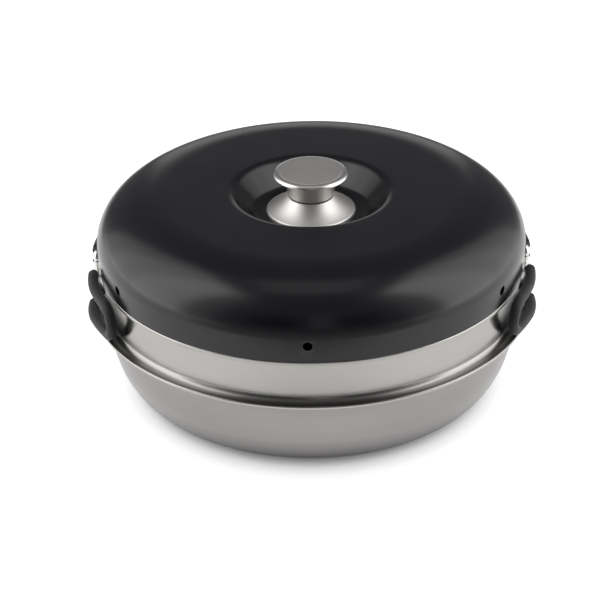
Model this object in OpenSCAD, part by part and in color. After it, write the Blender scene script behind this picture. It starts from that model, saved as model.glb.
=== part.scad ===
// Stacking stove-top camp oven with folding butterfly handles.
// Base dish, carrier ring, ring-shaped baking pan and domed lid share one upright axis, Z.
// The origin is the middle of the base dish's underside. Handles stand at +X and -X,
// and -Y is the front.

/* [Carrier ring] */
// Outer radius of the steel band
band_r = 134; // [112:1:165]
// Height from the ring's seat on the base to its top rim
band_h = 28.5; // [28.5:0.5:45]
// Thickness of the pressed steel of ring and base
steel_t = 0.8; // [0.6:0.1:1.2]
// Radius of the fillet between band and flange
fillet_r = 3.6; // [2:0.2:5]
// Width of the flange beyond the band
flange_w = 7.6; // [6.8:0.2:9]
// How far the flange's rolled edge hangs below the seat
edge_drop = 0.9; // [0.6:0.1:2]
// How far the rolled top rim stands out from the band
rim_w = 2.2; // [2:0.1:2.6]
// Height of the rolled top rim
rim_h = 2.4; // [1.6:0.2:3.2]

/* [Base dish] */
// Height of the base dish
base_h = 56; // [45:1:85]
// How far the dish's wall stands inside the band's outer face
base_inset = 1.5; // [0.5:0.5:6]
// Straight part of the dish's wall below its rim
base_straight = 5.5; // [3:0.5:12]
// Width of the dish's curved side
base_curve_w = 28.4; // [15:0.2:45]
// Roundness of the curved side, where 2 is an ellipse
base_curve_n = 2; // [1.6:0.05:2.6]
// Radius of the flame opening
flame_r = 28.8; // [20:0.5:32]
// Height of the raised collar round the flame opening
collar_h = 12.5; // [9:0.5:14]
// Width of the collar's sloping foot
collar_w = 16; // [10:1:22]

/* [Baking pan] */
// Thickness of the pan's aluminium
pan_t = 1.5; // [1:0.1:2]
// Gap for hot air between the base dish's collar and the pan's floor
air_gap = 6; // [3:1:30]
// How much the pan's wall leans in from shoulder to floor
pan_taper = 9; // [4:1:15]
// Radius of the chimney's mouth at the pan's floor
chimney_foot_r = 32; // [30:0.5:40]
// Radius of the chimney's mouth at its top
chimney_top_r = 25; // [15:0.5:28]
// How far the chimney's top lies below the pan's rim
chimney_drop = 6; // [3:1:20]

/* [Lid] */
// Thickness of the lid
lid_t = 1.5; // [1:0.1:1.8]
// Height of the lid's nearly straight wall
lid_wall_h = 15.5; // [14:0.5:22]
// How far the wall swells outwards over its height
lid_swell = 1.2; // [0.4:0.1:1.4]
// Width of the lid's rounded shoulder
shoulder_w = 45.3; // [25:0.5:50]
// Height of the lid's rounded shoulder
shoulder_h = 31.7; // [24:0.5:45]
// Radius of the recess's mouth, where its sloping wall would meet the crown
well_r = 50.5; // [47:0.5:56]
// Depth of the recess
well_depth = 14.2; // [12:0.2:18]
// Radius at which the recess's sloping wall would meet its flat floor
well_floor_r = 36.3; // [34.5:0.1:40]
// Radius of the recess's rounded brim
well_brim_r = 8.5; // [2:0.5:9]
// Diameter of a vent hole
vent_d = 6; // [3:0.5:7]
// Height of the vent holes above the lid's edge
vent_z = 11.5; // [8:0.5:13]
// Number of vent holes
vent_count = 6; // [3:1:12]
// How far the lid is turned on the oven, in degrees
lid_turn = -1.4; // [-20:0.2:20]

/* [Knob] */
// Radius of the bell under the knob
bell_r = 28.5; // [22:0.5:30]
// Height of the bell
bell_h = 10.4; // [8:0.2:15]
// How far the bell's flare sags below a straight cone
bell_bow = 1; // [0:0.1:1.3]
// Thickness of the bell
bell_t = 1; // [0.8:0.1:1.4]
// Thickness of the seal between bell and knob
seal_t = 0.8; // [0.6:0.1:1.6]
// Radius of the knob's foot
knob_foot_r = 14.1; // [12:0.1:15.5]
// Radius of the knob's neck under its disc
knob_neck_r = 18; // [16:0.2:19.4]
// Radius of the knob's disc
knob_r = 23.8; // [22:0.2:30]
// Height of the knob above its seal
knob_h = 16.2; // [13:0.2:22]
// Thickness of the knob's disc at its rim
knob_rim_t = 2.8; // [2.4:0.2:4]
// Depth of the shallow dish in the knob's top
knob_dish = 0.7; // [0.2:0.1:1]
// Radius of the knob's screw
screw_r = 2.5; // [2:0.5:3]

/* [Folding handles] */
// Distance of the hinge axes from the band
hinge_out = 5.8; // [5.8:0.1:8]
// Distance of each hinge axis from the handle's middle
hinge_spread = 11; // [9.5:0.5:16]
// Radius of the handle's wire
wire_r = 2; // [1.5:0.1:2.2]
// Outer radius of the silicone sleeve
sleeve_r = 3.4; // [3:0.1:3.7]
// Height between the upper and lower runs of a wing
run_gap = 20.6; // [19:0.2:24]
// How far the upper run stands out from the band where it starts to follow it
upper_out = 8.3; // [8:0.1:10]
// How far the lower run stands out from the band where it starts to follow it
lower_out = 9.7; // [8:0.1:13]
// How far the upper run stands out at the wing's end
upper_tip_out = 7.3; // [6.6:0.1:10]
// How far the lower run stands out at the wing's end
lower_tip_out = 6.6; // [5:0.1:12]
// Length of a wing along the band, from the handle's middle to where its end turns back
wing_reach = 65.4; // [55:0.2:78]
// Distance from the handle's middle at which a run starts to follow the band
run_start = 27.8; // [24:0.2:32]
// Radius of the bend where a run leaves its hinge
lead_bend_r = 10; // [9:0.5:12]
// Thickness of the handle bracket
bracket_t = 1.2; // [1:0.1:1.6]
// Radius of a rivet's shank
rivet_r = 1.6; // [1.2:0.1:2]

/* [Fits] */
// Radial clearance of a wire end in its barrel
hinge_clear = 0.05; // [0.02:0.01:0.1]
// Radial clearance between pieces that stack loosely
stack_clear = 0.5; // [0.4:0.1:1]
// Radial clearance of the screw in the holes it passes
screw_clear = 0.25; // [0.1:0.05:0.5]

/* [Hidden] */

round_fn = 120;
rod_fn = 32;
arc_steps = 6;
curve_steps = 14;
bend_steps = 4;
run_steps = 5;
turn_steps = 12;
rod_sides = 12;
over = 1;

steel = "silver";
satin_steel = "lightgray";
silicone = "dimgray";
coating = [0.13, 0.13, 0.14];

// Heights of the stack
rim_z = base_h + band_h;
crown_z = rim_z + lid_wall_h + shoulder_h;
well_z = crown_z - well_depth;
bell_z = well_z + bell_h;
knob_z = bell_z + seal_t;

// Radii of the carrier ring
band_in_r = band_r - steel_t;
flange_r = band_r + flange_w;
rim_out_r = band_r + rim_w;
edge_w = 1.2;
edge_in_r = flange_r - edge_w;

// Lid's lower edge stands on the rolled rim, just inside its outer face
lid_inset = 0.2;
lid_edge_r = rim_out_r - lid_inset;
lid_in_r = lid_edge_r - lid_t;
lid_skirt_h = 2;

// Pan's rim lies on the ring's top and inside the lid's edge
pan_rim_clear = 0.4;
pan_rim_r = lid_in_r - pan_rim_clear;
pan_locate_r = band_in_r - stack_clear;
pan_locate_h = 3;
pan_step_w = 2.3;
pan_step_h = 3;
pan_wall_r = pan_locate_r - pan_step_w;
pan_floor_z = collar_h + air_gap;
pan_corner_r = 9;
chimney_corner_r = 6;

// Base dish
base_wall_r = band_r - base_inset;
base_lip_r = edge_in_r - stack_clear;
collar_lip_h = 3;
foot_flat = 1;

// Handles: the runs lie above and below the middle of the bracket
hinge_x = band_r + hinge_out;
bracket_rise = 14.1;
run_mid_z = base_h + steel_t + bracket_rise;
upper_z = run_mid_z + run_gap / 2;
lower_z = run_mid_z - run_gap / 2;
wire_bend_r = 3.5;
sleeve_lead = 4.2;
barrel_gap = 0.7;
barrel_h = run_gap - 2 * (wire_bend_r + barrel_gap);
barrel_r = 3;
neck_w = 2.6;
pin_gap = 1.6;
rivet_angle = 1.8;
rivet_head_r = 3;
rivet_head_h = 1.4;
rivet_foot_r = 2.6;
rivet_foot_h = 1;
tuck = 0.04;
pin_step = 0.02;

// Screw and washer under the lid
washer_r = 7;
washer_t = 1.2;
screw_head_r = 4.7;
screw_head_h = 3;
screw_grip = 7;

function unit(v) = v / norm(v);

function on_circle(c, r, a) = c + r * [cos(a), sin(a)];

// Points of an arc of radius r that rounds the corner at b between a and c
function corner(a, b, c, r) =
    r == 0 ? [b] :
    let (
        u = unit(a - b),
        v = unit(c - b),
        half = acos(u * v) / 2,
        centre = b + unit(u + v) * r / sin(half),
        first = b + u * r / tan(half) - centre,
        turn = cross(b - a, c - b) > 0 ? 1 : -1,
        from = atan2(first[1], first[0]),
        sweep = turn * (180 - 2 * half)
    )
    [for (i = [0:arc_steps]) on_circle(centre, r, from + sweep * i / arc_steps)];

// Path through points [radius, height, corner radius]
function rounded(p) =
    let (xy = [for (q = p) [q[0], q[1]]], last = len(p) - 1)
    [for (i = [0:last])
        each (i == 0 || i == last) ? [xy[i]] : corner(xy[i - 1], xy[i], xy[i + 1], p[i][2])];

// Quarter of a superellipse from [c.x + a, c.y] to [c.x, c.y + b]
function quarter(c, a, b, n) =
    [for (i = [0:curve_steps])
        let (t = 90 * i / curve_steps)
        c + [a * pow(cos(t), 2 / n), b * pow(sin(t), 2 / n)]];

// Unit normal to the right of a step from a to b
function right_of(a, b) = let (d = unit(b - a)) [d[1], -d[0]];

// The path moved t to its right, with mitred corners
function beside(p, t) =
    let (last = len(p) - 1)
    [for (i = [0:last])
        let (
            n1 = right_of(p[max(i - 1, 0)], p[max(i, 1)]),
            n2 = right_of(p[min(i, last - 1)], p[min(i + 1, last)])
        )
        p[i] + t * (n1 + n2) / (1 + n1 * n2)];

function reversed(p) = [for (i = [len(p) - 1:-1:0]) p[i]];

module turned(p) {
    rotate_extrude($fn = round_fn) polygon(p);
}

// Sheet of thickness t on the right of a path, turned about Z
module turned_sheet(p, t) {
    turned(concat(p, reversed(beside(p, t))));
}

module drill(r, h) {
    translate([0, 0, -over]) cylinder(r = r, h = h + 2 * over, $fn = rod_fn);
}

// Base dish: rim, curved side, flat floor and a raised collar round the flame opening
base_foot_r = base_wall_r - base_curve_w;
base_curve_h = base_h - steel_t - base_straight;
base_path = concat(
    rounded([
        [base_lip_r, base_h - steel_t, 0],
        [base_wall_r, base_h - steel_t, 1.2],
        [base_wall_r, base_curve_h + base_straight / 2, 0]
    ]),
    [for (q = quarter([base_foot_r, -base_curve_h], base_curve_w, base_curve_h, base_curve_n))
        [q[0], -q[1]]],
    rounded([
        [base_foot_r - foot_flat, 0, 0],
        [flame_r + collar_w, 0, 4],
        [flame_r, collar_h - collar_lip_h, 2],
        [flame_r, collar_h, 0]
    ])
);

module base_dish() {
    color(steel) turned_sheet(base_path, steel_t);
}

// Carrier ring: rolled top rim, straight band, filleted flange with a rolled edge
module ring_section() {
    rim_round = 0.6;
    edge_round = 0.5;
    outside = rounded([
        [band_in_r, band_h, 0],
        [rim_out_r, band_h, rim_round],
        [rim_out_r, band_h - rim_h, rim_round],
        [band_r, band_h - rim_h, 0.5],
        [band_r, steel_t, fillet_r],
        [flange_r, steel_t, edge_round],
        [flange_r, -edge_drop, edge_round],
        [edge_in_r, -edge_drop, 0]
    ]);
    inside = rounded([
        [edge_in_r, 0, 0],
        [band_in_r, 0, fillet_r + steel_t],
        [band_in_r, band_h - 1, 0]
    ]);
    polygon(concat(outside, inside));
}

module carrier_ring() {
    color(steel) difference() {
        translate([0, 0, base_h]) rotate_extrude($fn = round_fn) ring_section();
        for (side = [0, 180]) rotate(side) rivet_holes();
    }
}

// Places its children at each rivet, with Z along the rivet and zero on the Z axis
module at_rivets() {
    for (a = [-rivet_angle, rivet_angle])
        rotate(a) translate([0, 0, run_mid_z]) rotate([0, 90, 0]) children();
}

module rivet_holes() {
    at_rivets() translate([0, 0, band_in_r - over])
        cylinder(r = rivet_r, h = steel_t + bracket_t + 2 * over, $fn = rod_fn);
}

// Rivet with a domed head outside and a flat head inside the band
module rivet() {
    plate_r = band_r + bracket_t;
    foot_z = band_in_r - tuck - rivet_foot_h;
    dome_r = (rivet_head_r * rivet_head_r + rivet_head_h * rivet_head_h) / (2 * rivet_head_h);
    translate([0, 0, foot_z]) cylinder(r = rivet_foot_r, h = rivet_foot_h, $fn = rod_fn);
    translate([0, 0, foot_z + rivet_foot_h / 2])
        cylinder(r = rivet_r, h = plate_r - foot_z, $fn = rod_fn);
    intersection() {
        translate([0, 0, plate_r + rivet_head_h - dome_r]) sphere(r = dome_r, $fn = round_fn);
        translate([0, 0, plate_r]) cylinder(r = rivet_head_r + over, h = rivet_head_h + over);
    }
}

module rivets() {
    color(satin_steel) at_rivets() rivet();
}

// Plan of the bracket: a plate that follows the band, with a barrel on a neck near each end
module bracket_plan() {
    plate_half_a = asin((hinge_spread + neck_w) / band_r);
    difference() {
        union() {
            rotate(-plate_half_a) arc_strip(band_r - over, band_r + bracket_t, 2 * plate_half_a);
            for (s = [-1, 1]) translate([hinge_x, s * hinge_spread]) {
                circle(r = barrel_r, $fn = rod_fn);
                translate([-hinge_out, -neck_w / 2]) square([hinge_out, neck_w]);
            }
        }
        circle(r = band_r, $fn = round_fn * 2);
        for (s = [-1, 1]) translate([hinge_x, s * hinge_spread])
            circle(r = wire_r + hinge_clear, $fn = rod_fn);
    }
}

// Part of a flat ring between two radii, from angle 0 to angle a
module arc_strip(r0, r1, a) {
    polygon(concat(
        [for (i = [0:curve_steps]) on_circle([0, 0], r1, a * i / curve_steps)],
        [for (i = [curve_steps:-1:0]) on_circle([0, 0], r0, a * i / curve_steps)]
    ));
}

module bracket() {
    color(satin_steel) difference() {
        translate([0, 0, run_mid_z - barrel_h / 2]) linear_extrude(barrel_h) bracket_plan();
        rivet_holes();
    }
}

// Way of one run in plan: a straight lead from the hinge, a bend, then an arc round the oven.
// The bend's centre lies so that the bend meets the arc without a corner.
run_a = run_start / band_r * 180 / PI;
tip_a = (wing_reach - run_gap / 2) / band_r * 180 / PI;
hinge_at = [hinge_x, hinge_spread];

function bend_centre(out) = on_circle([0, 0], band_r + out - lead_bend_r, run_a);

function lead_length(out) =
    sqrt(pow(norm(bend_centre(out) - hinge_at), 2) - lead_bend_r * lead_bend_r);

function lead_heading(out) =
    let (v = bend_centre(out) - hinge_at)
    atan2(v[1], v[0]) - asin(lead_bend_r / norm(v));

// Half of a wing's way: the bend out of the hinge, the lead, its bend and the run.
// side is 1 for the upper half and -1 for the lower one. The run nears the band towards
// the wing's end, from out to tip_out.
function half_way(out, tip_out, z, side) =
    let (
        heading = lead_heading(out),
        ahead = [cos(heading), sin(heading)],
        centre = bend_centre(out)
    )
    concat(
        [for (i = [0:bend_steps])
            let (a = 90 * i / bend_steps, s = wire_bend_r * (1 - cos(a)))
            [hinge_at[0] + s * ahead[0], hinge_at[1] + s * ahead[1],
             z - side * wire_bend_r * (1 - sin(a))]],
        [for (s = [sleeve_lead, lead_length(out)])
            [hinge_at[0] + s * ahead[0], hinge_at[1] + s * ahead[1], z]],
        [for (i = [1:bend_steps])
            let (q = on_circle(centre, lead_bend_r,
                               heading - 90 + (run_a - heading + 90) * i / bend_steps))
            [q[0], q[1], z]],
        [for (i = [1:run_steps])
            let (
                part = i / run_steps,
                q = on_circle([0, 0], band_r + out + (tip_out - out) * part,
                              run_a + (tip_a - run_a) * part)
            )
            [q[0], q[1], z]]
    );

// Half turn at the wing's end, from just past the upper run to just before the lower one
function end_turn() =
    let (
        lean = atan2(lower_tip_out - upper_tip_out, run_gap),
        turn_r = norm([lower_tip_out - upper_tip_out, run_gap]) / 2,
        mid_r = band_r + (upper_tip_out + lower_tip_out) / 2
    )
    [for (i = [1:turn_steps - 1])
        let (
            a = 180 * i / turn_steps,
            radial = mid_r - turn_r * cos(a) * sin(lean),
            along = turn_r * sin(a)
        )
        [radial * cos(tip_a) - along * sin(tip_a), radial * sin(tip_a) + along * cos(tip_a),
         run_mid_z + turn_r * cos(a) * cos(lean)]];

// The whole way of the rear wing on the right side, from the upper hinge end to the lower
wing_way = concat(half_way(upper_out, upper_tip_out, upper_z, 1), end_turn(),
                  reversed(half_way(lower_out, lower_tip_out, lower_z, -1)));

// The sleeve leaves out the bends at both hinge ends
sleeve_way = [for (i = [bend_steps + 1:len(wing_way) - bend_steps - 2]) wing_way[i]];

// Ring of points round point i of a way, square to it. No part of a wing runs along X,
// so X serves as the direction of each ring's first point.
function ring_at(way, i, r) =
    let (
        last = len(way) - 1,
        ahead = i == 0 && abs(way[0][2] - way[1][2]) > 1 ? [0, 0, 1] :
                i == last && abs(way[last][2] - way[last - 1][2]) > 1 ? [0, 0, 1] :
                unit(way[min(i + 1, last)] - way[max(i - 1, 0)]),
        across = unit([1, 0, 0] - ahead[0] * ahead),
        beyond = cross(ahead, across)
    )
    [for (k = [0:rod_sides - 1])
        let (a = 360 * k / rod_sides)
        way[i] + r * (cos(a) * across + sin(a) * beyond)];

// Faces of the wall between rings of points, wound for an outer or an inner wall
function wall_faces(first, rings, outer) =
    [for (i = [0:rings - 2], k = [0:rod_sides - 1])
        let (
            k1 = (k + 1) % rod_sides,
            a = first + i * rod_sides + k,
            b = first + i * rod_sides + k1,
            c = b + rod_sides,
            d = a + rod_sides
        )
        each outer ? [[a, c, b], [a, d, c]] : [[a, b, c], [a, c, d]]];

// Solid bar of radius r along a way
module bar_along(way, r) {
    n = len(way);
    polyhedron(
        points = [for (i = [0:n - 1]) each ring_at(way, i, r)],
        faces = concat(
            wall_faces(0, n, true),
            [[for (k = [0:rod_sides - 1]) k]],
            [[for (k = [rod_sides - 1:-1:0]) (n - 1) * rod_sides + k]]
        ),
        convexity = 6
    );
}

// Tube of outer radius r1 and bore r0 along a way
module tube_along(way, r0, r1) {
    n = len(way);
    inner = n * rod_sides;
    polyhedron(
        points = concat(
            [for (i = [0:n - 1]) each ring_at(way, i, r1)],
            [for (i = [0:n - 1]) each ring_at(way, i, r0)]
        ),
        faces = concat(
            wall_faces(0, n, true),
            wall_faces(inner, n, false),
            [for (end = [0, n - 1], k = [0:rod_sides - 1])
                let (
                    k1 = (k + 1) % rod_sides,
                    a = end * rod_sides + k,
                    b = end * rod_sides + k1,
                    c = inner + b,
                    d = inner + a
                )
                each end == 0 ? [[a, b, c], [a, c, d]] : [[a, c, b], [a, d, c]]]
        ),
        convexity = 6
    );
}

// Upright end of the wire in the barrel, a true cylinder that the bent wire runs out of
module hinge_pin(z, side) {
    base = z - side * wire_bend_r;
    tip = run_mid_z + side * pin_gap / 2;
    translate([hinge_at[0], hinge_at[1], min(base, tip)])
        cylinder(r = wire_r, h = abs(base - tip), $fn = rod_fn);
}

module wing_wire() {
    color(satin_steel) {
        bar_along(wing_way, wire_r - pin_step);
        hinge_pin(upper_z, 1);
        hinge_pin(lower_z, -1);
    }
}

module wing_sleeve() {
    color(silicone) tube_along(sleeve_way, wire_r - pin_step, sleeve_r);
}

module right_rear() { children(); }
module right_front() { mirror([0, 1, 0]) children(); }
module left_rear() { mirror([1, 0, 0]) children(); }
module left_front() { rotate(180) children(); }

module bracket_left() { rotate(180) bracket(); }
module bracket_right() { bracket(); }
module rivets_left() { rotate(180) rivets(); }
module rivets_right() { rivets(); }
module wire_left_front() { left_front() wing_wire(); }
module wire_left_rear() { left_rear() wing_wire(); }
module wire_right_front() { right_front() wing_wire(); }
module wire_right_rear() { right_rear() wing_wire(); }
module sleeve_left_front() { left_front() wing_sleeve(); }
module sleeve_left_rear() { left_rear() wing_sleeve(); }
module sleeve_right_front() { right_front() wing_sleeve(); }
module sleeve_right_rear() { right_rear() wing_sleeve(); }

// Baking pan: flat rim, locating step, tapered wall, rounded floor and central chimney
pan_path = rounded([
    [pan_rim_r, rim_z, 0],
    [pan_locate_r, rim_z, 0.3],
    [pan_locate_r, rim_z - pan_locate_h, 1],
    [pan_wall_r, rim_z - pan_locate_h - pan_step_h, 2],
    [pan_wall_r - pan_taper, pan_floor_z, pan_corner_r],
    [chimney_foot_r, pan_floor_z, chimney_corner_r],
    [chimney_top_r, rim_z - chimney_drop, 0]
]);

module baking_pan() {
    color("gray") turned_sheet(pan_path, pan_t);
}

// Lid: short skirt, swelling wall, elliptical shoulder, level crown, brim and recess
lid_wall_r = lid_edge_r + lid_swell;
well_foot_r = 6;
lid_path = concat(
    [[lid_edge_r, rim_z], [lid_edge_r, rim_z + lid_skirt_h]],
    quarter([lid_wall_r - shoulder_w, rim_z + lid_wall_h], shoulder_w, shoulder_h, 2),
    rounded([
        [well_r + well_brim_r + 1, crown_z, 0],
        [well_r, crown_z, well_brim_r],
        [well_floor_r, well_z, well_foot_r],
        [screw_r + screw_clear, well_z, 0]
    ])
);

module lid_shell() {
    color(coating) difference() {
        turned_sheet(lid_path, -lid_t);
        for (i = [0:vent_count - 1])
            rotate(lid_turn - 90 + 360 * i / vent_count)
                translate([lid_in_r - 2 * over, 0, rim_z + vent_z]) rotate([0, 90, 0])
                cylinder(d = vent_d, h = lid_t + lid_swell + 4 * over, $fn = rod_fn);
    }
}

// Steel bell that stands in the recess: a short skirt, a rounded edge and a hollow flare
module knob_bell() {
    skirt_h = 1.2;
    edge_r = 1.5;
    top_margin = 0.4;
    steps = 12;
    top = [knob_foot_r + top_margin, bell_z];
    edge_at = [bell_r - edge_r, well_z + skirt_h];
    foot_slope = atan((top[1] - edge_at[1] - edge_r - 4 * bell_bow) / (edge_at[0] - top[0]));
    foot = on_circle(edge_at, edge_r, 90 - foot_slope);
    path = concat(
        [[bell_r, well_z]],
        [for (i = [0:steps]) on_circle(edge_at, edge_r, (90 - foot_slope) * i / steps)],
        [for (i = [1:steps])
            let (t = i / steps, q = foot + (top - foot) * t)
            [q[0], q[1] - 4 * bell_bow * t * (1 - t)]],
        [[screw_r + screw_clear, bell_z]]
    );
    color(satin_steel) turned_sheet(path, -bell_t);
}

module knob_seal() {
    seal_inset = 0.2;
    color("black") translate([0, 0, bell_z]) difference() {
        cylinder(r = knob_foot_r - seal_inset, h = seal_t, $fn = round_fn);
        drill(screw_r + screw_clear, seal_t);
    }
}

// Knob: a flared neck under a round disc with a full rim and a slightly dished top
module knob() {
    top_z = knob_z + knob_h;
    rim_r = knob_rim_t / 2;
    disc_slope = 1.2;
    section = concat(
        rounded([
            [0, knob_z, 0],
            [knob_foot_r, knob_z, 0.4],
            [knob_neck_r, top_z - knob_rim_t - disc_slope, 3],
            [knob_r - rim_r, top_z - knob_rim_t, 0]
        ]),
        [for (i = [1:curve_steps - 1])
            on_circle([knob_r - rim_r, top_z - rim_r], rim_r, -90 + 180 * i / curve_steps)],
        rounded([
            [knob_r - rim_r, top_z, 0],
            [knob_r - 2 * rim_r, top_z - knob_dish, 4],
            [0, top_z - knob_dish, 0]
        ])
    );
    color(satin_steel) difference() {
        turned(section);
        translate([0, 0, knob_z - over]) cylinder(r = screw_r, h = screw_grip + over, $fn = rod_fn);
    }
}

// Round-headed screw that comes up from inside the lid, with a cross slot in its head
module knob_screw() {
    head_top = well_z - lid_t - washer_t;
    slot_w = 1.2;
    slot_l = 5;
    slot_depth = 1.4;
    color(steel) difference() {
        union() {
            translate([0, 0, head_top]) cylinder(r = screw_r, h = knob_z + screw_grip - head_top,
                                                 $fn = rod_fn);
            turned(rounded([
                [0, head_top - screw_head_h, 0],
                [screw_head_r, head_top - screw_head_h, 1.6],
                [screw_head_r, head_top, 0],
                [0, head_top, 0]
            ]));
        }
        for (a = [0, 90]) rotate(a)
            translate([-slot_l / 2, -slot_w / 2, head_top - screw_head_h - over])
                cube([slot_l, slot_w, slot_depth + over]);
    }
}

module knob_washer() {
    color(steel) translate([0, 0, well_z - lid_t - washer_t]) difference() {
        cylinder(r = washer_r, h = washer_t, $fn = round_fn);
        drill(screw_r + screw_clear, washer_t);
    }
}

base_dish();
carrier_ring();
bracket_left();
bracket_right();
rivets_left();
rivets_right();
wire_left_front();
wire_left_rear();
wire_right_front();
wire_right_rear();
sleeve_left_front();
sleeve_left_rear();
sleeve_right_front();
sleeve_right_rear();
baking_pan();
lid_shell();
knob_bell();
knob_seal();
knob();
knob_screw();
knob_washer();
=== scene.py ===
# %% [markdown]
# # A stacking camp oven with folding handles
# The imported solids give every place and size. This notebook gives the oven its looks: smooth
# turned shapes for the pressed pieces, swept tubes for the handles, and a finish for each.
# The frame comes first. It holds the bodies that move and the nodes that ride on them.

# %% Load the frame
import math
import bmesh
import bpy
from mathutils import Matrix, Vector


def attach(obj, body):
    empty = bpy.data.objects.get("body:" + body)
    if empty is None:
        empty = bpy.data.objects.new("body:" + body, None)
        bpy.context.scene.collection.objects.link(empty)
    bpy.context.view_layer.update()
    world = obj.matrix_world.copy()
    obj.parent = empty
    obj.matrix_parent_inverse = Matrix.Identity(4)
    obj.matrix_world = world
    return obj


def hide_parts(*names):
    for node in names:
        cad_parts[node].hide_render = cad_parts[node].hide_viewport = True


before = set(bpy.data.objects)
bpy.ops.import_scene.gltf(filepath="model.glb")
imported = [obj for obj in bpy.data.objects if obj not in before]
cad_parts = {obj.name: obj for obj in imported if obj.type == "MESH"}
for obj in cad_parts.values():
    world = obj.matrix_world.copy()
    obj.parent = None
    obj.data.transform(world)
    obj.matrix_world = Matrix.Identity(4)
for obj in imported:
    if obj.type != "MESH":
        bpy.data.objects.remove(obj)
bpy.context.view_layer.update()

# %% [markdown]
# The camera looks down at the oven by about 29 degrees through a long lens, so the ellipses
# of the rims are nearly even. Its axes are worked out from the viewing angle and a slight
# roll, and its place from the distance at which the whole oven fills the frame.

# %% Camera
MM = 0.001
RIM_Z = 84.5


def place_camera(distance, elevation, roll, aside, above, focal):
    e, t = math.radians(elevation), math.radians(roll)
    ahead = Vector((0, math.cos(e), -math.sin(e)))
    side = Vector((1, 0, 0))
    up = side.cross(ahead)
    right = side * math.cos(t) + up * math.sin(t)
    top = up * math.cos(t) - side * math.sin(t)
    at = -ahead * distance - right * aside - top * above + Vector((0, 0, RIM_Z))
    data = bpy.data.cameras.new("camera")
    data.lens, data.sensor_width = focal, 36
    data.clip_start, data.clip_end = 0.05, 50
    camera = bpy.data.objects.new("camera", data)
    bpy.context.scene.collection.objects.link(camera)
    camera.matrix_world = Matrix.Translation(at * MM) @ Matrix((right, top, -ahead)).transposed().to_4x4()
    bpy.context.scene.camera = camera
    return at


print("camera at", place_camera(distance=1400, elevation=29.21, roll=-0.72,
                                aside=4.17, above=32.22, focal=127.93))

# %% [markdown]
# A finish is a node tree. Sums of its values read best as plain Python, so one small class
# wraps a number socket and turns + - * / into Math nodes.

# %% Values as expressions
class Value:
    def __init__(self, finish, socket):
        self.finish, self.socket = finish, socket

    def sum(self, operation, *others):
        return self.finish.maths(operation, self, *others)

    def __add__(self, other): return self.sum("ADD", other)
    def __radd__(self, other): return self.finish.maths("ADD", other, self)
    def __sub__(self, other): return self.sum("SUBTRACT", other)
    def __mul__(self, other): return self.sum("MULTIPLY", other)
    def __truediv__(self, other): return self.sum("DIVIDE", other)
    def __pow__(self, other): return self.sum("POWER", other)


# %% [markdown]
# A second class holds the material. It adds any node from its type, its settings and the
# values of its sockets. A grain is laid out in the piece's own coordinates, so it stays on
# the steel when the piece moves.

# %% One class for every finish
class Finish:
    def __init__(self, name):
        self.material = bpy.data.materials.new(name)
        self.material.use_nodes = True
        self.tree = self.material.node_tree
        self.shader = self.tree.nodes["Principled BSDF"]

    def plug(self, socket, value):
        if isinstance(value, Value):
            value = value.socket
        if isinstance(value, bpy.types.NodeSocket):
            self.tree.links.new(value, socket)
        else:
            socket.default_value = value

    def node(self, kind, settings=None, inputs=None, out=0):
        made = self.tree.nodes.new("ShaderNode" + kind)
        for key, value in (settings or {}).items():
            if key == "stops":
                while len(made.color_ramp.elements) < len(value):
                    made.color_ramp.elements.new(0.5)
                for element, (at, grey) in zip(made.color_ramp.elements, value):
                    element.position, element.color = at, (grey, grey, grey, 1)
            else:
                setattr(made, key, value)
        for key, value in (inputs or {}).items():
            self.plug(made.inputs[key], value)
        return Value(self, made.outputs[out])

    def maths(self, operation, *values):
        return self.node("Math", {"operation": operation}, dict(enumerate(values)))

    def vector(self, x, y, z):
        return self.node("CombineXYZ", None, {0: x, 1: y, 2: z})

    def mix(self, part, first, second):
        return self.node("Mix", {"data_type": "RGBA"}, {0: part, 6: first, 7: second}, out=2)

    def blend(self, part, first, second):
        return self.mix(part, (*first, 1), (*second, 1))

    def noise(self, vector, scale, detail=2.0, roughness=0.5):
        return self.node("TexNoise", {"normalize": True},
                         {"Vector": vector, "Scale": scale, "Detail": detail, "Roughness": roughness})

    def ramp(self, value, *stops):
        return self.node("ValToRGB", {"stops": stops}, {0: value})

    def place(self):
        return self.node("TexCoord", out=3)

    def axes(self, point):
        split = self.node("SeparateXYZ", None, {0: point})
        return [Value(self, s) for s in split.socket.node.outputs]

    def bump(self, height, strength, distance, **under):
        return self.node("Bump", None, {"Height": height, "Strength": strength, "Distance": distance, **under})

    def set(self, **sockets):
        for key, value in sockets.items():
            self.plug(self.shader.inputs[key.replace("_", " ")], value)
        return self.material


# %% [markdown]
# Steel that was brushed while it turned has fine lines round its axis. The lines are noise
# on a direction that barely changes round the circle and changes fast across it, so they
# close on themselves with no seam. `across` says which way the profile runs: outwards, up,
# or both. Besides the lines, real sheets have slow patches.
#
# `dull` makes the top of a turned piece rougher: above which height, inside which radius,
# and how much. The shade bands paint shade into the steel: they darken it towards near-black
# and dull it where shade falls or where the steel mirrors a shadow. Each says what it goes by,
# where it starts, where it's full, how strong it is and the radius beyond which there is none.

# %% Turned and brushed steel
LINES = 1500
# Painted shade: the near-black colour that the shade bands mix into the steel.
PAINTED_SHADE = (0.02, 0.02, 0.02, 1)


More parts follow.
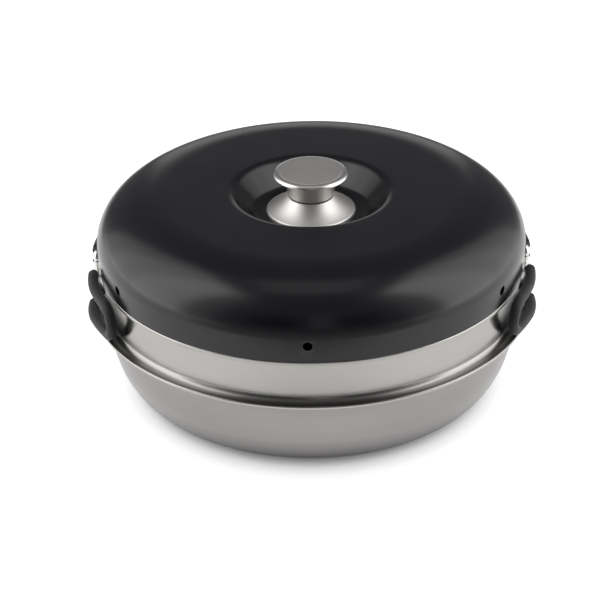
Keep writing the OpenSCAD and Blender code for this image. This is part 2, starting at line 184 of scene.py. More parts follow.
def brushed_steel(name, tint, shade, rough, across=(1, 1), streak=0.07, patch=0.05, bump=0.2,
                  spread=0.55, dull=None, painted_shades=()):
    f = Finish(name)
    point = f.place()
    x, y, z = f.axes(point)
    radius = (x * x + y * y + 1e-9) ** 0.5
    way = radius * across[0] + z * across[1]
    cx, cy = x / radius, y / radius
    fine = f.noise(f.vector(cx * 2.2, cy * 2.2, way * LINES), 1.0, 3, 0.7)
    broad = f.noise(f.vector(cx * 1.2, cy * 1.2, way * LINES * 0.12), 1.0, 2, 0.5)
    slow = f.noise(point, 22, 2)
    grain = (fine - 0.5) * 1.4 + (broad - 0.5) * 0.6
    tone = f.maths("MULTIPLY_ADD", grain, streak * 6, 0.5) + (slow - 0.5) * patch * 6
    tone.socket.node.use_clamp = True
    roughness = rough + grain * streak + (slow - 0.5) * patch
    if dull:
        above, inside, more = dull
        on_top = f.maths("GREATER_THAN", z, above * MM) * f.maths("LESS_THAN", radius, inside * MM)
        roughness = roughness + on_top * more
    colour = f.blend(tone, shade, tint)
    # Painted shade: each band darkens the colour towards near-black and roughens it.
    for measure, start, full, amount, outermost in painted_shades:
        goes_by = {"height": z, "radius": radius}[measure]
        shade_amount = f.node("MapRange", {"clamp": True}, {0: goes_by, 1: start * MM, 2: full * MM, 3: 0.0, 4: amount})
        shade_amount = shade_amount * f.maths("LESS_THAN", radius, outermost * MM)
        colour = f.mix(shade_amount, colour, PAINTED_SHADE)
        roughness = roughness + shade_amount * 0.15
    return f.set(Base_Color=colour, Metallic=1.0, Roughness=roughness,
                 Anisotropic=spread, Anisotropic_Rotation=0.25, Normal=f.bump(fine, bump, 0.03 * MM))


# The ring's two shade bands are painted shade in the crease. One lies over the fillet, where it dims the highlight.
# The other lies on the flange next to the lip, a dark line where the ring meets the dish.
ring_steel = brushed_steel("ring brushed steel", (0.46, 0.445, 0.43), (0.355, 0.344, 0.332), 0.25,
                           across=(0.4, 1), painted_shades=(("height", 60.3, 58.2, 0.34, 140.5),
                                                    ("radius", 137.2, 139.8, 0.7, 140.5)))
# The dish's band is painted shade: the dish darkens towards its foot, where it mirrors its own shadow on the floor.
dish_steel = brushed_steel("dish brushed steel", (0.345, 0.335, 0.33), (0.26, 0.252, 0.248), 0.33,
                           painted_shades=(("radius", 128.5, 108, 1.0, 200),))
knob_steel = brushed_steel("knob turned steel", (0.80, 0.78, 0.755), (0.68, 0.665, 0.64), 0.29,
                           across=(1, -0.6), streak=0.04, patch=0.02, bump=0.05, spread=0.3,
                           dull=(144.1, 20.4, 0.10))
bell_steel = brushed_steel("bell turned steel", (0.86, 0.84, 0.81), (0.74, 0.72, 0.695), 0.50,
                           across=(1, -0.6), streak=0.05, patch=0.03, bump=0.08, spread=0.3)
print("brushed steels", [m.name for m in (ring_steel, dish_steel, knob_steel, bell_steel)])

# %% [markdown]
# The lid's coating is a satin black paint, baked on. It has a very fine pebbled skin that
# softens every reflection, a slow orange peel under it, and faint dull and shiny patches.

# %% Satin coatings
def satin_coating(name, colour, worn, rough, pebble=0.12, peel=0.05):
    f = Finish(name)
    point = f.place()
    pebbles = f.noise(point, 3200, 2, 0.6)
    waves = f.noise(point, 260, 2)
    patches = f.noise(point, 30, 3, 0.6)
    dust = f.ramp(f.noise(point, 1500, 1), (0.72, 0), (0.80, 1))
    skin = f.bump(waves, peel, 0.2 * MM)
    normal = f.bump(pebbles, pebble, 0.05 * MM, Normal=skin)
    tone = patches * 0.7 + dust * 0.25
    return f.set(Base_Color=f.blend(tone, colour, worn),
                 Roughness=rough + (patches - 0.5) * 0.10 + (pebbles - 0.5) * 0.06,
                 Specular_IOR_Level=0.42, Normal=normal)


lid_coating = satin_coating("lid satin black coating", (0.0052, 0.0050, 0.0072), (0.0080, 0.0077, 0.0100), 0.235)
pan_coating = satin_coating("pan non-stick coating", (0.022, 0.022, 0.023), (0.034, 0.033, 0.033), 0.46,
                            pebble=0.2, peel=0.1)
print("coatings", lid_coating.name, "and", pan_coating.name)

# %% [markdown]
# Silicone sleeves are matte and dark grey, with a powdery bloom that catches light at the
# edges and a trace of lint. The seal under the knob is the same kind of rubber, but blacker.

# %% Silicone and rubber
def silicone(name, colour, bloom, rough):
    f = Finish(name)
    point = f.place()
    powder = f.noise(point, 1400, 3, 0.65)
    patches = f.noise(point, 90, 2)
    lint = f.ramp(f.noise(point, 900, 1), (0.74, 0), (0.82, 1))
    tone = patches * 0.6 + powder * 0.3 + lint * 0.3
    return f.set(Base_Color=f.blend(tone, colour, bloom), Roughness=rough + (powder - 0.5) * 0.15,
                 Specular_IOR_Level=0.35, Sheen_Weight=0.12, Sheen_Roughness=0.5,
                 Normal=f.bump(powder, 0.25, 0.06 * MM))


sleeve_silicone = silicone("sleeve silicone", (0.0130, 0.0136, 0.0145), (0.025, 0.0255, 0.0265), 0.62)
seal_rubber = silicone("seal rubber", (0.008, 0.008, 0.008), (0.014, 0.014, 0.014), 0.55)
print("rubbers", sleeve_silicone.name, "and", seal_rubber.name)

# %% [markdown]
# The wire was drawn through a die and the brackets were pressed and tumbled, so they are
# brighter than the brushed sheets, with short scratches that run every way.

# %% Bright steel for wires, brackets and fasteners
def bright_steel(name, tint, shade, rough, scratch=0.12):
    f = Finish(name)
    point = f.place()
    x, y, z = f.axes(point)
    cloudy = f.noise(point, 160, 3, 0.6)
    lines = f.noise(f.vector(x * 300, y * 300, z * 4200), 1.0, 2, 0.6)
    wear = f.ramp(f.noise(point, 700, 2), (0.58, 0), (0.75, 1))
    tone = cloudy * 0.6 + lines * 0.4
    return f.set(Base_Color=f.blend(tone, shade, tint), Metallic=1.0,
                 Roughness=rough + (cloudy - 0.5) * 0.10 + wear * scratch,
                 Normal=f.bump(lines, 0.1, 0.03 * MM))


wire_steel = bright_steel("drawn wire steel", (0.80, 0.79, 0.77), (0.62, 0.61, 0.60), 0.22)
bracket_steel = bright_steel("pressed bracket steel", (0.82, 0.81, 0.79), (0.66, 0.65, 0.64), 0.24)
fastener_steel = bright_steel("bright fastener steel", (0.78, 0.77, 0.75), (0.60, 0.59, 0.58), 0.25)
print("bright steels", [m.name for m in (wire_steel, bracket_steel, fastener_steel)])

# %% [markdown]
# Most of the oven is turned: one profile swept round the axis. A profile is a path of
# (radius, height) points in millimetres. Three helpers draw it: rounded corners, a quarter
# of an ellipse for bowls and shoulders, and the same path moved aside by the sheet's
# thickness, which gives the other face of the pressed sheet. A corner is a point with its
# rounding as a third number.

# %% Drawing profiles
def corner(a, b, c, r, steps=8):
    a, b, c = Vector(a), Vector(b), Vector(c)
    u, v = (a - b).normalized(), (c - b).normalized()
    half = math.acos(max(-1, min(1, u.dot(v)))) / 2
    centre = b + (u + v).normalized() * (r / math.sin(half))
    first = b + u * (r / math.tan(half)) - centre
    turn = 1 if (b - a).x * (c - b).y - (b - a).y * (c - b).x > 0 else -1
    start, sweep = math.atan2(first.y, first.x), turn * (math.pi - 2 * half)
    return [centre + r * Vector((math.cos(start + sweep * i / steps), math.sin(start + sweep * i / steps)))
            for i in range(steps + 1)]


def rounded(*points, steps=8):
    middle = [p for i in range(1, len(points) - 1)
              for p in corner(points[i - 1][:2], points[i][:2], points[i + 1][:2], points[i][2], steps)]
    return [Vector(points[0][:2])] + middle + [Vector(points[-1][:2])]


def quarter(centre, a, b, steps=36):
    angles = [math.pi / 2 * i / steps for i in range(steps + 1)]
    return [Vector(centre) + Vector((a * math.cos(t), b * math.sin(t))) for t in angles]


def beside(path, t):
    out = []
    for i, p in enumerate(path):
        steps = [(path[j + 1] - path[j]).normalized() for j in (max(i - 1, 0), min(i, len(path) - 2))]
        n1, n2 = (Vector((d.y, -d.x)) for d in steps)
        out.append(p + t * (n1 + n2) / (1 + n1.dot(n2)))
    return out


def sheet(path, t):
    return list(path) + beside(path, t)[::-1]


print("a rounded corner has", len(corner((0, 1), (0, 0), (1, 0), 0.2)), "points")

# %% [markdown]
# Turning a profile: each point off the axis becomes a ring, each point on it a pole. The
# closed outline gives a closed skin. Edges sharper than 35 degrees stay crisp and the rest
# are shaded smooth, so a fine ring count gives clean highlights.

# %% The lathe
def finish_mesh(bm, name, material, body=None, node=None, sharp=35):
    bmesh.ops.remove_doubles(bm, verts=bm.verts, dist=1e-7)
    bmesh.ops.recalc_face_normals(bm, faces=bm.faces)
    for edge in bm.edges:
        if len(edge.link_faces) == 2:
            edge.smooth = edge.calc_face_angle(0) < math.radians(sharp)
    for face in bm.faces:
        face.smooth = True
    mesh = bpy.data.meshes.new(name)
    bm.to_mesh(mesh)
    bm.free()
    mesh.materials.append(material)
    piece = bpy.data.objects.new(name, mesh)
    bpy.context.scene.collection.objects.link(piece)
    if body:
        settle(piece, body, node)
    return piece


def settle(piece, body, node):
    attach(piece, body)
    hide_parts(node)
    print(piece.name, "rides on", body, "with", len(piece.data.polygons), "faces")


def lathe(outline, segments=288):
    bm = bmesh.new()
    rings = []
    for p in outline:
        if p.x < 1e-6:
            rings.append([bm.verts.new((0, 0, p.y * MM))])
        else:
            turns = [2 * math.pi * k / segments for k in range(segments)]
            rings.append([bm.verts.new((p.x * math.cos(t) * MM, p.x * math.sin(t) * MM, p.y * MM))
                          for t in turns])
    for first, second in zip(rings, rings[1:] + rings[:1]):
        for k in range(segments):
            n = (k + 1) % segments
            corners = [first[k % len(first)], second[k % len(second)],
                       second[n % len(second)], first[n % len(first)]]
            loop = [v for i, v in enumerate(corners) if v is not corners[i - 1]]
            if len(loop) > 2:
                bm.faces.new(loop)
    return bm


# %% [markdown]
# The base dish is one pressed bowl. A narrow rim carries the ring, the side is a full curve
# that gets flatter towards the floor, and a raised collar leads the flame through the middle.

# %% Base dish
STEEL = 0.8
BAND_R = 134
BASE_H = 56
FLANGE_R = 141.6
WALL_R = BAND_R - 1.5
STRAIGHT = 5.5
CURVE_W = 28.4
COLLAR_R = 28.8
COLLAR_H = 12.5
COLLAR_FOOT_R = 44.8

foot_r = WALL_R - CURVE_W
curve_h = BASE_H - STEEL - STRAIGHT
dish_rim = rounded((FLANGE_R - 1.7, BASE_H - STEEL), (WALL_R, BASE_H - STEEL, 1.2),
                   (WALL_R, curve_h + STRAIGHT / 2))
bowl = [Vector((q.x, -q.y)) for q in quarter((foot_r, -curve_h), CURVE_W, curve_h)]
collar = rounded((foot_r - 1, 0), (COLLAR_FOOT_R, 0, 4), (COLLAR_R, COLLAR_H - 3, 2), (COLLAR_R, COLLAR_H))
finish_mesh(lathe(sheet(dish_rim + bowl + collar, STEEL)), "dish_bowl", dish_steel, "base", "base_dish")

# %% [markdown]
# The carrier ring is a band with a wide fillet that runs out into a flange. The flange's
# lip turns down over the dish's rim, and the top edge is rolled outwards to a bead.

# %% Carrier ring
BAND_H = 28.5
BEAD_R = 136.2
BEAD_H = 2.4
FILLET = 3.6
LIP = 1.2
LIP_DROP = 0.9


def ring_outline():
    inner, under_bead = BAND_R - STEEL, BAND_H - BEAD_H
    outside = rounded((inner, BAND_H), (BEAD_R, BAND_H, 0.6), (BEAD_R, under_bead, 0.6), (BAND_R, under_bead, 0.5),
                      (BAND_R, STEEL, FILLET), (FLANGE_R, STEEL, 0.5), (FLANGE_R, -LIP_DROP, 0.5),
                      (FLANGE_R - LIP, -LIP_DROP))
    inside = rounded((FLANGE_R - LIP, 0), (inner, 0, FILLET + STEEL), (inner, BAND_H - 1))
    return [p + Vector((0, BASE_H)) for p in outside + inside]


finish_mesh(lathe(ring_outline()), "ring_band", ring_steel, "ring", "carrier_ring")

# %% [markdown]
# The baking pan hangs in the ring by its rim. A step centres it, its wall leans in, and the
# chimney in its middle lets hot air rise to the lid.

# %% Baking pan
PAN_SHEET = 1.5
STEP_R = 132.7
FLOOR_Z = RIM_Z - 66

pan_path = rounded((STEP_R + 1.4, RIM_Z), (STEP_R, RIM_Z, 0.3), (STEP_R, RIM_Z - 3, 1), (130.4, RIM_Z - 6, 2),
                   (121.4, FLOOR_Z, 9), (32, FLOOR_Z, 6), (25, RIM_Z - 6))
finish_mesh(lathe(sheet(pan_path, PAN_SHEET)), "pan_form", pan_coating, "pan", "baking_pan")

# %% [markdown]
# The lid is one deep-drawn shell: a short skirt, a wall that swells a little, an elliptical
# shoulder, a level crown, and a recess with a soft brim.

# %% Lid shell
LID_SHEET = 1.5
LID_R = 136
SWELL = 1.2
WALL_H = 15.5
SHOULDER_W = 45.3
SHOULDER_H = 31.7
BRIM_R = 50.5
WELL_R = 36.3
SCREW_HOLE_R = 2.75
CROWN_Z = RIM_Z + WALL_H + SHOULDER_H
WELL_Z = CROWN_Z - 14.2

skirt = [Vector((LID_R, RIM_Z)), Vector((LID_R, RIM_Z + 2))]
shoulder = quarter((LID_R + SWELL - SHOULDER_W, RIM_Z + WALL_H), SHOULDER_W, SHOULDER_H)
well = rounded((60, CROWN_Z), (BRIM_R, CROWN_Z, 8.5), (WELL_R, WELL_Z, 6), (SCREW_HOLE_R, WELL_Z), steps=24)
solid_lid = finish_mesh(lathe(sheet(skirt + shoulder + well, -LID_SHEET)), "lid_blank", lid_coating)

# %% [markdown]
# Shapes that repeat or follow a path are made with Geometry Nodes. One small class builds
# such a tree: `ask` adds a named input, `node` adds any node, and `skin` runs the tree on an
# object and gives back the faces it made.

# %% Building node trees for shapes
class Shape:
    def __init__(self, name):
        self.tree = bpy.data.node_groups.new(name, "GeometryNodeTree")
        self.tree.interface.new_socket("Geometry", in_out="INPUT", socket_type="NodeSocketGeometry")
        self.tree.interface.new_socket("Geometry", in_out="OUTPUT", socket_type="NodeSocketGeometry")
        self.start = self.tree.nodes.new("NodeGroupInput")
        self.end = self.tree.nodes.new("NodeGroupOutput")
        self.values = {}

    def ask(self, name, kind, value):
        made = self.tree.interface.new_socket(name, in_out="INPUT", socket_type="NodeSocket" + kind)
        self.values[made.identifier] = value
        return self.start.outputs[name]

    def node(self, kind, settings=None, inputs=None):
        made = self.tree.nodes.new(kind)
        for key, value in (settings or {}).items():
            setattr(made, key, value)
        for key, value in (inputs or {}).items():
            if isinstance(value, bpy.types.NodeSocket):
                self.tree.links.new(value, made.inputs[key])
            else:
                made.inputs[key].default_value = value
        return made

    def maths(self, operation, *values):
        return self.node("ShaderNodeMath", {"operation": operation}, dict(enumerate(values))).outputs[0]

    def skin(self, source, last, material):
        whole = self.node("GeometryNodeRealizeInstances", None, {0: last})
        coated = self.node("GeometryNodeSetMaterial", None,
                           {"Geometry": whole.outputs[0], "Material": self.ask("Finish", "Material", material)})
        self.tree.links.new(coated.outputs[0], self.end.inputs[0])
        modifier = source.modifiers.new("shape", "NODES")
        modifier.node_group = self.tree
        for identifier, value in self.values.items():
            modifier[identifier] = value
        mesh = bpy.data.meshes.new_from_object(source.evaluated_get(bpy.context.evaluated_depsgraph_get()))
        bm = bmesh.new()
        bm.from_mesh(mesh)
        bpy.data.objects.remove(source)
        bpy.data.meshes.remove(mesh)
        return bm


# %% [markdown]
# Six round vents go through the lid's wall. They repeat round a circle, so a tree puts
# cylinders on the points of a circle, turned outwards, and takes them out of the shell.

# %% Vents through the lid's wall
VENT_R = 3
VENT_Z = RIM_Z + 11.5
FIRST_VENT = -91.4

vents = Shape("vents round the lid")
count = vents.ask("Vents", "Int", 6)
width = vents.ask("Radius", "Float", VENT_R * MM)
height = vents.ask("Height", "Float", VENT_Z * MM)
turn = vents.ask("Turn", "Float", math.radians(FIRST_VENT))
circle = vents.node("GeometryNodeMeshCircle", None, {"Vertices": count, "Radius": LID_R * MM})
drill = vents.node("GeometryNodeMeshCylinder", None, {"Vertices": 32, "Radius": width, "Depth": 12 * MM})
spot = vents.node("GeometryNodeInputPosition")
outward = vents.node("FunctionNodeAlignRotationToVector", {"axis": "Z"}, {"Vector": spot.outputs[0]})
drills = vents.node("GeometryNodeInstanceOnPoints", None, {
    "Points": circle.outputs[0], "Instance": drill.outputs[0], "Rotation": outward.outputs[0]})
spin = vents.node("ShaderNodeCombineXYZ", None, {2: turn})
rise = vents.node("ShaderNodeCombineXYZ", None, {2: height})
placed = vents.node("GeometryNodeTransform", None, {
    "Geometry": drills.outputs[0], "Translation": rise.outputs[0], "Rotation": spin.outputs[0]})
cutters = vents.node("GeometryNodeRealizeInstances", None, {0: placed.outputs[0]})
cut = vents.node("GeometryNodeMeshBoolean", {"operation": "DIFFERENCE", "solver": "EXACT"}, {
    0: vents.start.outputs[0], 1: cutters.outputs[0]})
finish_mesh(vents.skin(solid_lid, cut.outputs[0], lid_coating), "lid_dome", lid_coating, "lid", "lid_shell")

# %% [markdown]
# The bell covers the lid's hole and carries the knob. Its edge is turned down in a small
# round, and its flare sags a little between edge and top. The knob is turned from one bar: a
# flared neck, a bevelled rim and a slightly dished top. The top stays bare. A thin seal lies
# between the two.

# %% Bell, knob and seal
BELL_Z = WELL_Z + 10.4
KNOB_Z = BELL_Z + 0.8
KNOB_TOP = KNOB_Z + 16.2
EDGE_ROUND = 1.5
SAG = 1
SEAL_R = 13.9
DISC_R = 20.4
BEVEL_W = 3.4
BEVEL_H = 2.3

edge = Vector((27, WELL_Z + 0.3))
top = Vector((14.5, BELL_Z))
slope = math.atan((top.y - edge.y - EDGE_ROUND - 4 * SAG) / (edge.x - top.x))
turned_edge = [edge + EDGE_ROUND * Vector((math.cos(a), math.sin(a)))
               for a in ((math.pi / 2 - slope) * i / 12 for i in range(13))]
flare = [turned_edge[-1].lerp(top, i / 24) - Vector((0, 4 * SAG * i / 24 * (1 - i / 24)))
         for i in range(1, 25)]
bell_path = [Vector((28.5, WELL_Z))] + turned_edge + flare + [Vector((SCREW_HOLE_R, BELL_Z))]
finish_mesh(lathe(sheet(bell_path, -1)), "bell_cover", bell_steel, "lid", "knob_bell")

bevel = quarter((DISC_R, KNOB_TOP - BEVEL_H), BEVEL_W, BEVEL_H, 24)
neck = rounded((0, KNOB_Z), (14.1, KNOB_Z, 0.4), (18, KNOB_TOP - 4, 3), (23.3, KNOB_TOP - 2.8, 0.5),
               tuple(bevel[0]))
disc = rounded((DISC_R, KNOB_TOP), (19.2, KNOB_TOP - 0.35, 2), (0, KNOB_TOP - 0.5))
finish_mesh(lathe(neck + bevel[1:] + disc), "knob_turned", knob_steel, "lid", "knob")

seal_outline = rounded((SCREW_HOLE_R, BELL_Z), (SEAL_R, BELL_Z, 0.3), (SEAL_R, KNOB_Z, 0.3), (SCREW_HOLE_R, KNOB_Z))
finish_mesh(lathe(seal_outline, 128), "seal_ring", seal_rubber, "lid", "knob_seal")

# %% [markdown]
# Each handle wing is a bent wire with a silicone sleeve. Both follow one path: a bend out
# of the hinge, a lead that curves into a run along the band, nearer to it towards the tip,
# and a half turn into the lower run. One function draws the upper half and the lower half.

# %% The way of a wing
HINGE = Vector((139.8, 11))
MID_Z = BASE_H + STEEL + 14.1
GAP = 20.6
REACH = 65.4
UPPER, LOWER = (8.3, 7.3), (9.7, 6.6)
PIN_POINTS = 9
PIN_BEND = 3.5
LEAD_BEND = 10
start_a, tip_a = 27.8 / BAND_R, (REACH - GAP / 2) / BAND_R


def polar(r, a):
    return Vector((r * math.cos(a), r * math.sin(a)))


def half_way(out, side):
    z = MID_Z + side * GAP / 2
    centre = polar(BAND_R + out[0] - LEAD_BEND, start_a)
    v = centre - HINGE
    heading = math.atan2(v.y, v.x) - math.asin(LEAD_BEND / v.length)
    lead = math.sqrt(v.length ** 2 - LEAD_BEND ** 2)
    ahead = polar(1, heading)
    points = []
    for i in range(PIN_POINTS):
        a = math.pi / 2 * i / (PIN_POINTS - 1)
        p = HINGE + ahead * PIN_BEND * (1 - math.cos(a))
        points.append((*p, z - side * PIN_BEND * (1 - math.sin(a))))
    run = [polar(BAND_R + out[0] + (out[1] - out[0]) * i / 10, start_a + (tip_a - start_a) * i / 10)
           for i in range(11)]
    turn = (start_a - heading + math.pi / 2) / 2
    first, bend = HINGE + ahead * 6, HINGE + ahead * (lead + LEAD_BEND * math.tan(turn))
    points.append((*(HINGE + ahead * 4.2), z))
    for i in range(13):
        t = i / 12
        points.append((*(first * (1 - t) ** 2 + bend * 2 * t * (1 - t) + run[3] * t * t), z))
    return points + [(*p, z) for p in run[4:]]


def wing_way():
    step = LOWER[1] - UPPER[1]
    lean, r = math.atan2(step, GAP), math.hypot(step, GAP) / 2
    middle = BAND_R + (UPPER[1] + LOWER[1]) / 2
    around = []
    for i in range(1, 20):
        a = math.pi * i / 20
        out, along = middle - r * math.cos(a) * math.sin(lean), r * math.sin(a)
        around.append((out * math.cos(tip_a) - along * math.sin(tip_a),
                       out * math.sin(tip_a) + along * math.cos(tip_a),
                       MID_Z + r * math.cos(a) * math.cos(lean)))
    return half_way(UPPER, 1) + around + half_way(LOWER, -1)[::-1]


WAY = wing_way()
print("a wing's path has", len(WAY), "points")

# %% [markdown]
# A tree of Curve to Mesh sweeps a circle along the path. Every point of the path has its own
# radius, which rounds off the sleeve's ends, so a few extra points stand close together
# there. The path is drawn once and mirrored to the four places.

# %% Sweeping wires and sleeves
PLACES = {"right_rear": (1, 1), "right_front": (1, -1), "left_rear": (-1, 1), "left_front": (-1, -1)}


def path_curve(points, radii, sx, sy):
    data = bpy.data.curves.new("way", "CURVE")
    data.dimensions = "3D"
    spline = data.splines.new("POLY")
    spline.points.add(len(points) - 1)
    for point, (x, y, z), r in zip(spline.points, points, radii):
        point.co = (x * sx * MM, y * sy * MM, z * MM, 1)
        point.radius = r
    source = bpy.data.objects.new("way", data)
    bpy.context.scene.collection.objects.link(source)
    return source


def sweep(name, points, radii, thickness, material, place, body, node):
    shape = Shape(name + " sweep")
    r = shape.ask("Radius", "Float", thickness * MM)
    sides = shape.ask("Sides", "Int", 32)
    circle = shape.node("GeometryNodeCurvePrimitiveCircle", None, {"Resolution": sides, "Radius": r})
    scale = shape.node("GeometryNodeInputRadius")
    tube = shape.node("GeometryNodeCurveToMesh", None, {
        "Curve": shape.start.outputs[0], "Profile Curve": circle.outputs[0],
        "Scale": scale.outputs[0], "Fill Caps": True})
    source = path_curve(points, radii, *PLACES[place])
    finish_mesh(shape.skin(source, tube.outputs[0], material), name, material, body, node, sharp=50)


def rounded_ends(points, r, length, drop):
    lengths = [0]
    for a, b in zip(points, points[1:]):
        lengths.append(lengths[-1] + (Vector(b) - Vector(a)).length)
    radii = []
    for s in lengths:
        off = 1 - min(s, lengths[-1] - s, length) / length
        radii.append(1 - drop / r * (1 - math.sqrt(1 - off ** 2)))
    return radii


def fine_ends(points, soft, steps=6):
    first, second = Vector(points[0]), Vector(points[1])
    last, before = Vector(points[-1]), Vector(points[-2])
    gaps = [soft * (1 - math.cos(math.pi / 2 * i / steps)) for i in range(1, steps + 1)]
    head = [tuple(first + (second - first).normalized() * g) for g in gaps]
    tail = [tuple(last + (before - last).normalized() * g) for g in reversed(gaps)]
    return [points[0]] + head + list(points[1:-1]) + tail + [points[-1]]


WIRE_R = 2.0
SLEEVE_R = 3.4
SOFT_END = 2.0
END_DROP = 1.2
PIN_END = 0.8

sleeve_points = fine_ends(WAY[PIN_POINTS:-PIN_POINTS], SOFT_END)
sleeve_radii = rounded_ends(sleeve_points, SLEEVE_R, SOFT_END, END_DROP)
wire_points = [(*HINGE, MID_Z + PIN_END)] + WAY + [(*HINGE, MID_Z - PIN_END)]
for place in PLACES:
    sweep("sleeve_tube_" + place, sleeve_points, sleeve_radii, SLEEVE_R,
          sleeve_silicone, place, "wing_" + place, "sleeve_" + place)
    sweep("wire_loop_" + place, wire_points, [1] * len(wire_points), WIRE_R,
          wire_steel, place, "wing_" + place, "wire_" + place)

# %% [markdown]
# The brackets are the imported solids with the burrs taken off: a merged copy of each gets
# its flat faces joined again and its sharp edges bevelled by a fifth of a millimetre.

# %% Brackets
def softened(node, name, material, body, width_mm):
    bm = bmesh.new()
    bm.from_mesh(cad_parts[node].data)
    bmesh.ops.remove_doubles(bm, verts=bm.verts, dist=2e-6)
    bmesh.ops.dissolve_limit(bm, angle_limit=math.radians(1), verts=bm.verts, edges=bm.edges)
    sharp = [e for e in bm.edges if len(e.link_faces) == 2 and e.calc_face_angle(0) > math.radians(45)]
    bmesh.ops.bevel(bm, geom=sharp, offset=width_mm * MM, offset_type="OFFSET", segments=2,
                    profile=0.6, affect="EDGES", clamp_overlap=True)
    finish_mesh(bm, name, material, body, node)


for side in ("left", "right"):
    softened("bracket_" + side, "bracket_plate_" + side, bracket_steel, "ring", 0.2)

# %% [markdown]
# Two rivets hold each bracket. They repeat, so a tree puts one domed rivet on each point of
# a short row.

# %% Rivets
SHANK_R = 1.6
HEAD_R = 3
HEAD_H = 1.4
TAIL_R = 2.6
RIVET_STEP = 3.6
PLATE = 1.2


def rivet_outline():
    face, back = BAND_R + PLATE, BAND_R - STEEL - 0.04
    dome = (HEAD_R * HEAD_R + HEAD_H * HEAD_H) / (2 * HEAD_H)
    widest = math.asin(HEAD_R / dome)
    head = [Vector((dome * math.sin(a), face + HEAD_H - dome + dome * math.cos(a)))
            for a in (widest * (1 - i / 12) for i in range(13))]
    tail = rounded((0, back - 1), (TAIL_R, back - 1, 0.4), (TAIL_R, back, 0.1), (SHANK_R, back))
    return tail + [Vector((SHANK_R, face))] + head


for side, base_angle in (("left", math.pi), ("right", 0)):
    rivet = finish_mesh(lathe(rivet_outline(), 40), "rivet_one", fastener_steel)
    row = Shape("rivets " + side)
    across = row.ask("Angle between", "Float", math.radians(RIVET_STEP))
    facing = row.ask("Facing", "Float", base_angle)
    rise = row.ask("Height", "Float", MID_Z * MM)
    line = row.node("GeometryNodeMeshLine", {"mode": "OFFSET"}, {"Count": 2, "Offset": (0, 0, 0)})
    index = row.node("GeometryNodeInputIndex")
    swing = row.maths("MULTIPLY", index.outputs[0], across)
    half = row.maths("MULTIPLY", across, -0.5)
    faced = row.maths("ADD", row.maths("ADD", swing, half), facing)
    angles = row.node("ShaderNodeCombineXYZ", None, {1: math.pi / 2, 2: faced})
    rotation = row.node("FunctionNodeEulerToRotation", None, {0: angles.outputs[0]})
    both = row.node("GeometryNodeInstanceOnPoints", None, {
        "Points": line.outputs[0], "Instance": row.start.outputs[0], "Rotation": rotation.outputs[0]})
    up = row.node("ShaderNodeCombineXYZ", None, {2: rise})
    lifted = row.node("GeometryNodeTransform", None, {"Geometry": both.outputs[0], "Translation": up.outputs[0]})
    finish_mesh(row.skin(rivet, lifted.outputs[0], fastener_steel), "rivet_pair_" + side,
                fastener_steel, "ring", "rivets_" + side)

# %% [markdown]
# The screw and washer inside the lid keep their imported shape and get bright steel.

# %% Screw and washer
for node in ("knob_screw", "knob_washer"):
    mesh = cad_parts[node].data
    mesh.materials.clear()
    mesh.materials.append(fastener_steel)
print("fasteners coated")

# %% [markdown]
# The oven stands on a pale floor in a dim studio. The floor is white to the camera and in
# reflections, and still takes the oven's shadow: its paint under the lamps gives part of the
# white and a glow the rest. The glow fades out under the dish, which paints a contact shadow round its foot.

# %% Floor
def stage_plane(name, corners, material, seen=True):
    mesh = bpy.data.meshes.new(name)
    mesh.from_pydata(corners, [], [(0, 1, 2, 3)])
    mesh.materials.append(material)
    plane = bpy.data.objects.new(name, mesh)
    bpy.context.scene.collection.objects.link(plane)
    plane.visible_camera = seen
    plane.visible_shadow = seen
    plane.visible_diffuse = seen


def pale_floor():
    f = Finish("pale floor")
    path = f.node("LightPath").socket.node
    seen = (Value(f, path.outputs["Is Camera Ray"]) + Value(f, path.outputs["Is Glossy Ray"])
            + Value(f, path.outputs["Is Transmission Ray"]))
    x, y, z = f.axes(f.place())
    # Painted shadow: the glow is dimmed close to the dish's foot. This contact shadow is seen by the camera and
    # mirrored in the dish.
    far = f.ramp((x * x + y * y) ** 0.5, (0.104, 0.0), (0.114, 0.35), (0.120, 0.7), (0.130, 1.0))
    glow = f.node("Emission", None, {"Color": far, "Strength": 0.56})
    paint = f.node("BsdfDiffuse", None, {"Color": (0.9, 0.9, 0.9, 1)})
    bright = f.node("AddShader", None, {0: glow, 1: paint})
    both = f.node("MixShader", None, {0: f.maths("MINIMUM", seen, 1.0), 1: paint, 2: bright})
    f.tree.links.new(both.socket, f.tree.nodes["Material Output"].inputs["Surface"])
    f.tree.nodes.remove(f.shader)
    return f.material


stage_plane("floor", [(-4, -3, 0), (4, -3, 0), (4, 6, 0), (-4, 6, 0)], pale_floor())
print("floor laid")

# %% [markdown]
# The lid and the ring mirror what stands round them. A grey card lies on the floor in front
# and another behind, and two dark ones stand high in front. Cards belong to the studio, and
# the camera looks past them.

# %% Cards
LIFT = 0.003


def card(name, grey, *corners):
    f = Finish(name)
    stage_plane(name, corners, f.set(Base_Color=(grey, grey, grey, 1), Roughness=0.9, Specular_IOR_Level=0.0),
                seen=False)


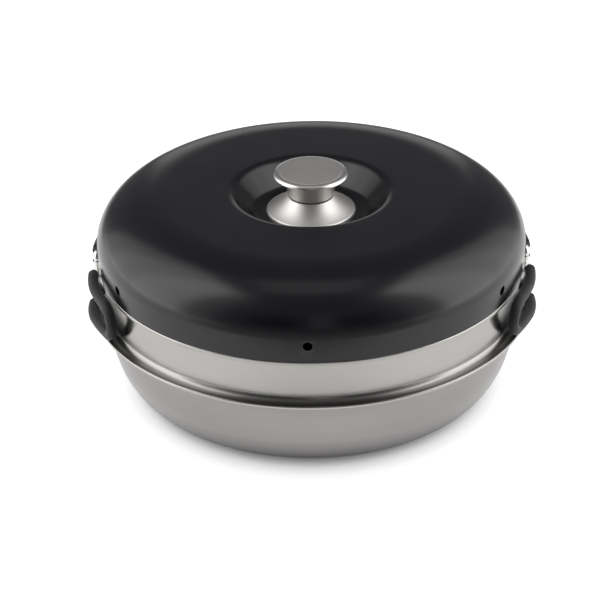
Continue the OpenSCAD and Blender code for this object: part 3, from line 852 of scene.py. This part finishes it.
card("front floor card", 0.62, (-2, -3, LIFT), (2, -3, LIFT), (0.45, -0.27, LIFT), (-0.45, -0.27, LIFT))
card("rear floor card", 0.35, (-0.7, 0.5, LIFT), (0.7, 0.5, LIFT), (3, 5, LIFT), (-3, 5, LIFT))
for near, far in ((-0.04, -0.85), (0.28, 0.85)):
    card("dark card", 0.02, (near, -1.3, 0.33), (far, -1.3, 0.33), (far, -1.3, 1.05), (near, -1.3, 1.05))
print("cards set")

# %% [markdown]
# A tall soft wall stands on each side. It's built of panels of their own brightness: full
# beside the oven, dimmer towards the rear, faint at the front. A narrow strip in front, a
# low glow at the rear and a box overhead fill in.

# %% Lights and world
WALL_X = 0.9
WALL_MIDDLE = 1.03
WALL_TALL = 2.04


def soft_box(name, at, towards, width, height, radiance):
    data = bpy.data.lights.new(name, "AREA")
    data.shape, data.size, data.size_y = "RECTANGLE", width, height
    data.energy = radiance * math.pi * width * height
    lamp = bpy.data.objects.new(name, data)
    bpy.context.scene.collection.objects.link(lamp)
    lamp.location = at
    lamp.rotation_euler = (Vector(towards) - Vector(at)).to_track_quat("-Z", "Y").to_euler()


for side in (-1, 1):
    for near, far, radiance in ((-0.81, -0.42, 0.5), (-0.42, 0.12, 2.65), (0.12, 0.5, 1.7), (0.5, 0.84, 0.85)):
        middle = (near + far) / 2
        soft_box("side panel", (side * WALL_X, middle, WALL_MIDDLE), (0, middle, WALL_MIDDLE),
                 far - near, WALL_TALL, radiance)
soft_box("front strip", (0.12, -1.7, 0.95), (0.12, 0, 0.95), 0.3, 1.3, 0.3)
soft_box("rear glow", (0, 3, 0.5), (0, 0, 0.5), 1.5, 1.0, 0.55)
soft_box("top box", (0, 0.1, 1.9), (0, 0.1, 0), 0.9, 0.7, 0.5)

world = bpy.data.worlds.new("dim studio")
world.use_nodes = True
world.node_tree.nodes["Background"].inputs[0].default_value = (0.16, 0.16, 0.165, 1)
bpy.context.scene.world = world
bpy.context.scene.view_settings.view_transform = "Standard"
print("studio lit")
